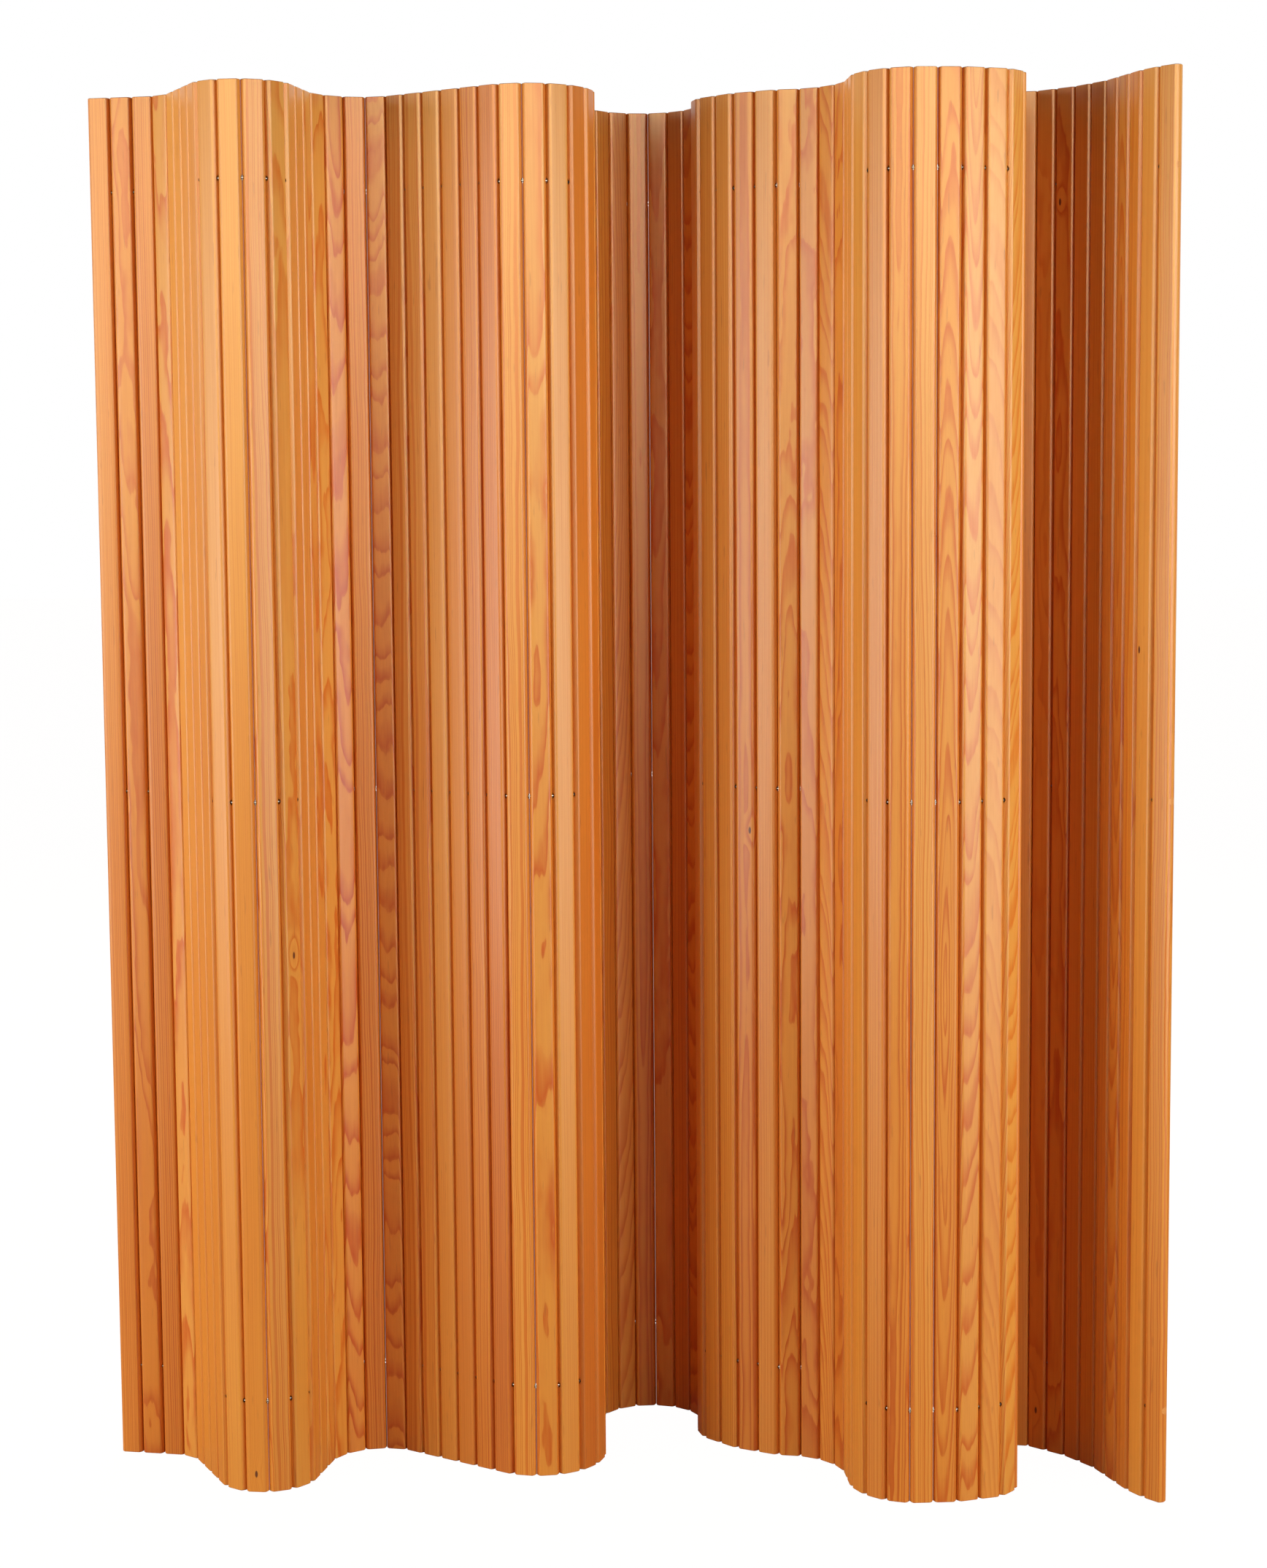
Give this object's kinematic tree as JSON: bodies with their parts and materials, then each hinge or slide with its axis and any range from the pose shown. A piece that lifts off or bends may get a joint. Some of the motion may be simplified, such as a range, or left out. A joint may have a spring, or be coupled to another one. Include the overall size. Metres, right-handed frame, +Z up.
{
  "type": "slatted room divider",
  "caption": "Free-standing pine screen of upright slats strung edge to edge on steel wires, standing in waves that open flat or close up to divide a room.",
  "frame": {"origin": "on the floor, under the middle of the screen's plan as it stands in the picture", "axes": "+Z up along the slats; +X along the screen, to the right in the picture; +Y away from the viewer, through the screen"},
  "size_m": [1.1438, 0.3486, 1.5],
  "materials": {
    "pine": "clear satin lacquer",
    "steel": "drawn wire"
  },
  "bodies": {
    "slats_01_to_03": {"slats_01_to_03": "pine", "left_wire_stops": "steel", "left_plugs": "pine"},
    "slat_04": {"slat_04": "pine"},
    "slats_05_to_08": {"slats_05_to_08": "pine"},
    "slat_09": {"slat_09": "pine"},
    "slat_10": {"slat_10": "pine"},
    "slat_11": {"slat_11": "pine"},
    "slat_12": {"slat_12": "pine"},
    "slats_13_to_15": {"slats_13_to_15": "pine"},
    "slat_16": {"slat_16": "pine"},
    "slat_17": {"slat_17": "pine"},
    "slat_18": {"slat_18": "pine"},
    "slat_19": {"slat_19": "pine"},
    "slats_20_to_25": {"slats_20_to_25": "pine"},
    "slat_26": {"slat_26": "pine"},
    "slat_27": {"slat_27": "pine"},
    "slat_28": {"slat_28": "pine"},
    "slat_29": {"slat_29": "pine"},
    "slat_30": {"slat_30": "pine"},
    "slats_31_to_35": {"slats_31_to_35": "pine"},
    "slat_36": {"slat_36": "pine"},
    "slat_37": {"slat_37": "pine"},
    "slat_38": {"slat_38": "pine"},
    "slat_39": {"slat_39": "pine", "upper_wire": "steel", "middle_wire": "steel", "lower_wire": "steel"},
    "slat_40": {"slat_40": "pine"},
    "slat_41": {"slat_41": "pine"},
    "slat_42": {"slat_42": "pine"},
    "slat_43": {"slat_43": "pine"},
    "slat_44": {"slat_44": "pine"},
    "slat_45": {"slat_45": "pine"},
    "slats_46_to_47": {"slats_46_to_47": "pine"},
    "slats_48_to_49": {"slats_48_to_49": "pine"},
    "slat_50": {"slat_50": "pine"},
    "slat_51": {"slat_51": "pine"},
    "slat_52": {"slat_52": "pine"},
    "slat_53": {"slat_53": "pine"},
    "slats_54_to_55": {"slats_54_to_55": "pine"},
    "slat_56": {"slat_56": "pine"},
    "slat_57": {"slat_57": "pine"},
    "slat_58": {"slat_58": "pine"},
    "slats_59_to_60": {"slats_59_to_60": "pine"},
    "slats_61_to_62": {"slats_61_to_62": "pine"},
    "slat_63": {"slat_63": "pine"},
    "slat_64": {"slat_64": "pine"},
    "slats_65_to_67": {"slats_65_to_67": "pine"},
    "slat_68": {"slat_68": "pine"},
    "slat_69": {"slat_69": "pine"},
    "slat_70": {"slat_70": "pine"},
    "slat_71": {"slat_71": "pine"},
    "slats_72_to_73": {"slats_72_to_73": "pine"},
    "slats_74_to_75": {"slats_74_to_75": "pine"},
    "slats_76_to_78": {"slats_76_to_78": "pine"},
    "slat_79": {"slat_79": "pine"},
    "slat_80": {"slat_80": "pine", "right_wire_stops": "steel", "right_plugs": "pine"}
  },
  "joints": [
    {"name": "left_return_hinge_03_04", "type": "hinge", "parent": "slat_04", "child": "slats_01_to_03", "pos_m": [-0.49848, 0.00726, 0.75], "axis": [0, 0, 1], "range_deg": [-26.7, 10.3]},
    {"name": "left_return_hinge_04_05", "type": "hinge", "parent": "slats_05_to_08", "child": "slat_04", "pos_m": [-0.47857, -0.00785, 0.75], "axis": [0, 0, 1], "range_deg": [-26.7, 10.3], "deforming": ["upper_wire", "middle_wire", "lower_wire"]},
    {"name": "first_bulge_hinge_08_09", "type": "hinge", "parent": "slat_09", "child": "slats_05_to_08", "pos_m": [-0.43458, -0.09766, 0.75], "axis": [0, 0, -1], "range_deg": [-28.3, 8.7], "deforming": ["upper_wire", "middle_wire", "lower_wire"]},
    {"name": "first_bulge_hinge_09_10", "type": "hinge", "parent": "slat_10", "child": "slat_09", "pos_m": [-0.41425, -0.11221, 0.75], "axis": [0, 0, -1], "range_deg": [-28.3, 8.7]},
    {"name": "first_bulge_hinge_10_11", "type": "hinge", "parent": "slat_11", "child": "slat_10", "pos_m": [-0.38945, -0.11539, 0.75], "axis": [0, 0, -1], "range_deg": [-28.3, 8.7]},
    {"name": "first_bulge_hinge_11_12", "type": "hinge", "parent": "slat_12", "child": "slat_11", "pos_m": [-0.36611, -0.10643, 0.75], "axis": [0, 0, -1], "range_deg": [-28.3, 8.7]},
    {"name": "first_bulge_hinge_12_13", "type": "hinge", "parent": "slats_13_to_15", "child": "slat_12", "pos_m": [-0.34981, -0.08747, 0.75], "axis": [0, 0, -1], "range_deg": [-28.3, 8.7]},
    {"name": "first_hollow_hinge_15_16", "type": "hinge", "parent": "slat_16", "child": "slats_13_to_15", "pos_m": [-0.3337, -0.01422, 0.75], "axis": [0, 0, 1], "range_deg": [-22.4, 14.6]},
    {"name": "first_hollow_hinge_16_17", "type": "hinge", "parent": "slat_17", "child": "slat_16", "pos_m": [-0.31944, 0.0063, 0.75], "axis": [0, 0, 1], "range_deg": [-22.4, 14.6]},
    {"name": "first_hollow_hinge_17_18", "type": "hinge", "parent": "slat_18", "child": "slat_17", "pos_m": [-0.29842, 0.01985, 0.75], "axis": [0, 0, 1], "range_deg": [-22.4, 14.6]},
    {"name": "first_hollow_hinge_18_19", "type": "hinge", "parent": "slat_19", "child": "slat_18", "pos_m": [-0.27383, 0.02436, 0.75], "axis": [0, 0, 1], "range_deg": [-22.4, 14.6]},
    {"name": "first_hollow_hinge_19_20", "type": "hinge", "parent": "slats_20_to_25", "child": "slat_19", "pos_m": [-0.24938, 0.01916, 0.75], "axis": [0, 0, 1], "range_deg": [-22.4, 14.6], "deforming": ["upper_wire", "middle_wire", "lower_wire"]},
    {"name": "second_bulge_hinge_25_26", "type": "hinge", "parent": "slat_26", "child": "slats_20_to_25", "pos_m": [-0.12561, -0.06558, 0.75], "axis": [0, 0, -1], "range_deg": [-21.3, 7.7], "deforming": ["upper_wire", "middle_wire", "lower_wire"]},
    {"name": "second_bulge_hinge_26_27", "type": "hinge", "parent": "slat_27", "child": "slat_26", "pos_m": [-0.10126, -0.07125, 0.75], "axis": [0, 0, -1], "range_deg": [-21.3, 7.7]},
    {"name": "second_bulge_hinge_27_28", "type": "hinge", "parent": "slat_28", "child": "slat_27", "pos_m": [-0.07652, -0.06768, 0.75], "axis": [0, 0, -1], "range_deg": [-21.3, 7.7]},
    {"name": "second_bulge_hinge_28_29", "type": "hinge", "parent": "slat_29", "child": "slat_28", "pos_m": [-0.05476, -0.05537, 0.75], "axis": [0, 0, -1], "range_deg": [-21.3, 7.7]},
    {"name": "second_bulge_hinge_29_30", "type": "hinge", "parent": "slat_30", "child": "slat_29", "pos_m": [-0.03896, -0.036, 0.75], "axis": [0, 0, -1], "range_deg": [-21.3, 7.7]},
    {"name": "second_bulge_hinge_30_31", "type": "hinge", "parent": "slats_31_to_35", "child": "slat_30", "pos_m": [-0.03127, -0.01221, 0.75], "axis": [0, 0, -1], "range_deg": [-21.3, 7.7]},
    {"name": "far_hollow_hinge_35_36", "type": "hinge", "parent": "slat_36", "child": "slats_31_to_35", "pos_m": [-0.03869, 0.11257, 0.75], "axis": [0, 0, 1], "range_deg": [-22.1, 3.9], "deforming": ["upper_wire", "middle_wire", "lower_wire"]},
    {"name": "far_hollow_hinge_36_37", "type": "hinge", "parent": "slat_37", "child": "slat_36", "pos_m": [-0.03067, 0.13625, 0.75], "axis": [0, 0, 1], "range_deg": [-22.1, 3.9]},
    {"name": "far_hollow_hinge_37_38", "type": "hinge", "parent": "slat_38", "child": "slat_37", "pos_m": [-0.01434, 0.15518, 0.75], "axis": [0, 0, 1], "range_deg": [-22.1, 3.9]},
    {"name": "far_hollow_hinge_38_39", "type": "hinge", "parent": "slat_39", "child": "slat_38", "pos_m": [0.00792, 0.16656, 0.75], "axis": [0, 0, 1], "range_deg": [-22.1, 3.9], "deforming": ["upper_wire", "middle_wire", "lower_wire"]},
    {"name": "far_hollow_hinge_39_40", "type": "hinge", "parent": "slat_39", "child": "slat_40", "pos_m": [0.03282, 0.16874, 0.75], "axis": [0, 0, -1], "range_deg": [-22.1, 3.9], "deforming": ["upper_wire", "middle_wire", "lower_wire"]},
    {"name": "far_hollow_hinge_40_41", "type": "hinge", "parent": "slat_40", "child": "slat_41", "pos_m": [0.05672, 0.16139, 0.75], "axis": [0, 0, -1], "range_deg": [-22.1, 3.9]},
    {"name": "far_hollow_hinge_41_42", "type": "hinge", "parent": "slat_41", "child": "slat_42", "pos_m": [0.07609, 0.14559, 0.75], "axis": [0, 0, -1], "range_deg": [-22.1, 3.9], "deforming": ["upper_wire", "middle_wire", "lower_wire"]},
    {"name": "far_hollow_hinge_42_43", "type": "hinge", "parent": "slat_42", "child": "slat_43", "pos_m": [0.0881, 0.12366, 0.75], "axis": [0, 0, -1], "range_deg": [-22.1, 3.9]},
    {"name": "far_hollow_hinge_43_44", "type": "hinge", "parent": "slat_43", "child": "slat_44", "pos_m": [0.09097, 0.09883, 0.75], "axis": [0, 0, -1], "range_deg": [-22.1, 3.9], "deforming": ["upper_wire", "middle_wire", "lower_wire"]},
    {"name": "back_corner_hinge_44_45", "type": "hinge", "parent": "slat_44", "child": "slat_45", "pos_m": [0.08429, 0.07474, 0.75], "axis": [0, 0, 1], "range_deg": [-29.5, 7.5], "deforming": ["upper_wire", "middle_wire", "lower_wire"]},
    {"name": "back_corner_hinge_45_46", "type": "hinge", "parent": "slat_45", "child": "slats_46_to_47", "pos_m": [0.09034, 0.05048, 0.75], "axis": [0, 0, 1], "range_deg": [-29.5, 7.5], "deforming": ["upper_wire", "middle_wire", "lower_wire"]},
    {"name": "slow_curve_hinge_47_48", "type": "hinge", "parent": "slats_46_to_47", "child": "slats_48_to_49", "pos_m": [0.12476, 0.01421, 0.75], "axis": [0, 0, 1], "range_deg": [-18.4, 4.68], "deforming": ["upper_wire", "middle_wire", "lower_wire"]},
    {"name": "slow_curve_hinge_49_50", "type": "hinge", "parent": "slats_48_to_49", "child": "slat_50", "pos_m": [0.16886, -0.00934, 0.75], "axis": [0, 0, 1], "range_deg": [-18.4, 4.68]},
    {"name": "side_hollow_hinge_50_51", "type": "hinge", "parent": "slat_50", "child": "slat_51", "pos_m": [0.1935, -0.01355, 0.75], "axis": [0, 0, -1], "range_deg": [-19, 18]},
    {"name": "side_hollow_hinge_51_52", "type": "hinge", "parent": "slat_51", "child": "slat_52", "pos_m": [0.21543, -0.02556, 0.75], "axis": [0, 0, -1], "range_deg": [-19, 18]},
    {"name": "side_hollow_hinge_52_53", "type": "hinge", "parent": "slat_52", "child": "slat_53", "pos_m": [0.23226, -0.04405, 0.75], "axis": [0, 0, -1], "range_deg": [-19, 18]},
    {"name": "side_hollow_hinge_53_54", "type": "hinge", "parent": "slat_53", "child": "slats_54_to_55", "pos_m": [0.24215, -0.06701, 0.75], "axis": [0, 0, -1], "range_deg": [-19, 18], "deforming": ["upper_wire", "middle_wire", "lower_wire"]},
    {"name": "near_bulge_left_hinge_55_56", "type": "hinge", "parent": "slats_54_to_55", "child": "slat_56", "pos_m": [0.2459, -0.11687, 0.75], "axis": [0, 0, 1], "range_deg": [-22.21, 3.32]},
    {"name": "near_bulge_left_hinge_56_57", "type": "hinge", "parent": "slat_56", "child": "slat_57", "pos_m": [0.25705, -0.13924, 0.75], "axis": [0, 0, 1], "range_deg": [-22.21, 3.32]},
    {"name": "near_bulge_left_hinge_57_58", "type": "hinge", "parent": "slat_57", "child": "slat_58", "pos_m": [0.27583, -0.15574, 0.75], "axis": [0, 0, 1], "range_deg": [-22.21, 3.32]},
    {"name": "near_bulge_left_hinge_58_59", "type": "hinge", "parent": "slat_58", "child": "slats_59_to_60", "pos_m": [0.29946, -0.16392, 0.75], "axis": [0, 0, 1], "range_deg": [-22.21, 3.32]},
    {"name": "near_bulge_nose_hinge_60_61", "type": "hinge", "parent": "slats_59_to_60", "child": "slats_61_to_62", "pos_m": [0.34938, -0.16122, 0.75], "axis": [0, 0, 1], "range_deg": [-14.5, 2.16], "deforming": ["upper_wire", "middle_wire", "lower_wire"]},
    {"name": "near_bulge_right_hinge_62_63", "type": "hinge", "parent": "slats_61_to_62", "child": "slat_63", "pos_m": [0.39704, -0.1461, 0.75], "axis": [0, 0, 1], "range_deg": [-32.21, 4.81]},
    {"name": "near_bulge_right_hinge_63_64", "type": "hinge", "parent": "slat_63", "child": "slat_64", "pos_m": [0.41318, -0.12701, 0.75], "axis": [0, 0, 1], "range_deg": [-32.21, 4.81]},
    {"name": "near_bulge_right_hinge_64_65", "type": "hinge", "parent": "slat_64", "child": "slats_65_to_67", "pos_m": [0.41666, -0.10225, 0.75], "axis": [0, 0, 1], "range_deg": [-32.21, 4.81]},
    {"name": "right_hollow_hinge_67_68", "type": "hinge", "parent": "slats_65_to_67", "child": "slat_68", "pos_m": [0.38591, -0.03384, 0.75], "axis": [0, 0, -1], "range_deg": [-31.31, 5.71]},
    {"name": "right_hollow_hinge_68_69", "type": "hinge", "parent": "slat_68", "child": "slat_69", "pos_m": [0.389, -0.00903, 0.75], "axis": [0, 0, -1], "range_deg": [-31.31, 5.71]},
    {"name": "right_hollow_hinge_69_70", "type": "hinge", "parent": "slat_69", "child": "slat_70", "pos_m": [0.40453, 0.01056, 0.75], "axis": [0, 0, -1], "range_deg": [-31.31, 5.71]},
    {"name": "right_hollow_hinge_70_71", "type": "hinge", "parent": "slat_70", "child": "slat_71", "pos_m": [0.42798, 0.01923, 0.75], "axis": [0, 0, -1], "range_deg": [-31.31, 5.71]},
    {"name": "right_hollow_hinge_71_72", "type": "hinge", "parent": "slat_71", "child": "slats_72_to_73", "pos_m": [0.45252, 0.01447, 0.75], "axis": [0, 0, -1], "range_deg": [-31.31, 5.71]},
    {"name": "right_sweep_hinge_73_74", "type": "hinge", "parent": "slats_72_to_73", "child": "slats_74_to_75", "pos_m": [0.4895, -0.01919, 0.75], "axis": [0, 0, -1], "range_deg": [-14.5, 2.64]},
    {"name": "right_sweep_hinge_75_76", "type": "hinge", "parent": "slats_74_to_75", "child": "slats_76_to_78", "pos_m": [0.51688, -0.06102, 0.75], "axis": [0, 0, -1], "range_deg": [-14.5, 2.64], "deforming": ["upper_wire", "middle_wire", "lower_wire"]},
    {"name": "right_end_hinge_78_79", "type": "hinge", "parent": "slats_76_to_78", "child": "slat_79", "pos_m": [0.54093, -0.13206, 0.75], "axis": [0, 0, 1], "range_deg": [-10.9, 26.1], "deforming": ["upper_wire", "middle_wire", "lower_wire"]},
    {"name": "right_end_hinge_79_80", "type": "hinge", "parent": "slat_79", "child": "slat_80", "pos_m": [0.55327, -0.1538, 0.75], "axis": [0, 0, 1], "range_deg": [-10.9, 26.1]}
  ],
  "couplings": [
    {"joint": "left_return_hinge_03_04", "follows": "left_return_hinge_04_05", "ratio": 1},
    {"joint": "first_bulge_hinge_09_10", "follows": "first_bulge_hinge_08_09", "ratio": 1},
    {"joint": "first_bulge_hinge_10_11", "follows": "first_bulge_hinge_08_09", "ratio": 1},
    {"joint": "first_bulge_hinge_11_12", "follows": "first_bulge_hinge_08_09", "ratio": 1},
    {"joint": "first_bulge_hinge_12_13", "follows": "first_bulge_hinge_08_09", "ratio": 1},
    {"joint": "first_hollow_hinge_15_16", "follows": "first_hollow_hinge_19_20", "ratio": 1},
    {"joint": "first_hollow_hinge_16_17", "follows": "first_hollow_hinge_19_20", "ratio": 1},
    {"joint": "first_hollow_hinge_17_18", "follows": "first_hollow_hinge_19_20", "ratio": 1},
    {"joint": "first_hollow_hinge_18_19", "follows": "first_hollow_hinge_19_20", "ratio": 1},
    {"joint": "second_bulge_hinge_26_27", "follows": "second_bulge_hinge_25_26", "ratio": 1},
    {"joint": "second_bulge_hinge_27_28", "follows": "second_bulge_hinge_25_26", "ratio": 1},
    {"joint": "second_bulge_hinge_28_29", "follows": "second_bulge_hinge_25_26", "ratio": 1},
    {"joint": "second_bulge_hinge_29_30", "follows": "second_bulge_hinge_25_26", "ratio": 1},
    {"joint": "second_bulge_hinge_30_31", "follows": "second_bulge_hinge_25_26", "ratio": 1},
    {"joint": "far_hollow_hinge_36_37", "follows": "far_hollow_hinge_35_36", "ratio": 1},
    {"joint": "far_hollow_hinge_37_38", "follows": "far_hollow_hinge_38_39", "ratio": 1},
    {"joint": "far_hollow_hinge_40_41", "follows": "far_hollow_hinge_39_40", "ratio": 1},
    {"joint": "far_hollow_hinge_42_43", "follows": "far_hollow_hinge_43_44", "ratio": 1},
    {"joint": "slow_curve_hinge_49_50", "follows": "slow_curve_hinge_47_48", "ratio": 1},
    {"joint": "side_hollow_hinge_50_51", "follows": "side_hollow_hinge_53_54", "ratio": 1},
    {"joint": "side_hollow_hinge_51_52", "follows": "side_hollow_hinge_53_54", "ratio": 1},
    {"joint": "side_hollow_hinge_52_53", "follows": "side_hollow_hinge_53_54", "ratio": 1},
    {"joint": "near_bulge_left_hinge_55_56", "follows": "near_bulge_nose_hinge_60_61", "ratio": 1.531},
    {"joint": "near_bulge_left_hinge_56_57", "follows": "near_bulge_nose_hinge_60_61", "ratio": 1.531},
    {"joint": "near_bulge_left_hinge_57_58", "follows": "near_bulge_nose_hinge_60_61", "ratio": 1.531},
    {"joint": "near_bulge_left_hinge_58_59", "follows": "near_bulge_nose_hinge_60_61", "ratio": 1.531},
    {"joint": "near_bulge_right_hinge_62_63", "follows": "near_bulge_nose_hinge_60_61", "ratio": 2.2207},
    {"joint": "near_bulge_right_hinge_63_64", "follows": "near_bulge_nose_hinge_60_61", "ratio": 2.2207},
    {"joint": "near_bulge_right_hinge_64_65", "follows": "near_bulge_nose_hinge_60_61", "ratio": 2.2207},
    {"joint": "right_hollow_hinge_67_68", "follows": "right_sweep_hinge_75_76", "ratio": 2.1586},
    {"joint": "right_hollow_hinge_68_69", "follows": "right_sweep_hinge_75_76", "ratio": 2.1586},
    {"joint": "right_hollow_hinge_69_70", "follows": "right_sweep_hinge_75_76", "ratio": 2.1586},
    {"joint": "right_hollow_hinge_70_71", "follows": "right_sweep_hinge_75_76", "ratio": 2.1586},
    {"joint": "right_hollow_hinge_71_72", "follows": "right_sweep_hinge_75_76", "ratio": 2.1586},
    {"joint": "right_sweep_hinge_73_74", "follows": "right_sweep_hinge_75_76", "ratio": 1},
    {"joint": "right_end_hinge_79_80", "follows": "right_end_hinge_78_79", "ratio": 1}
  ]
}
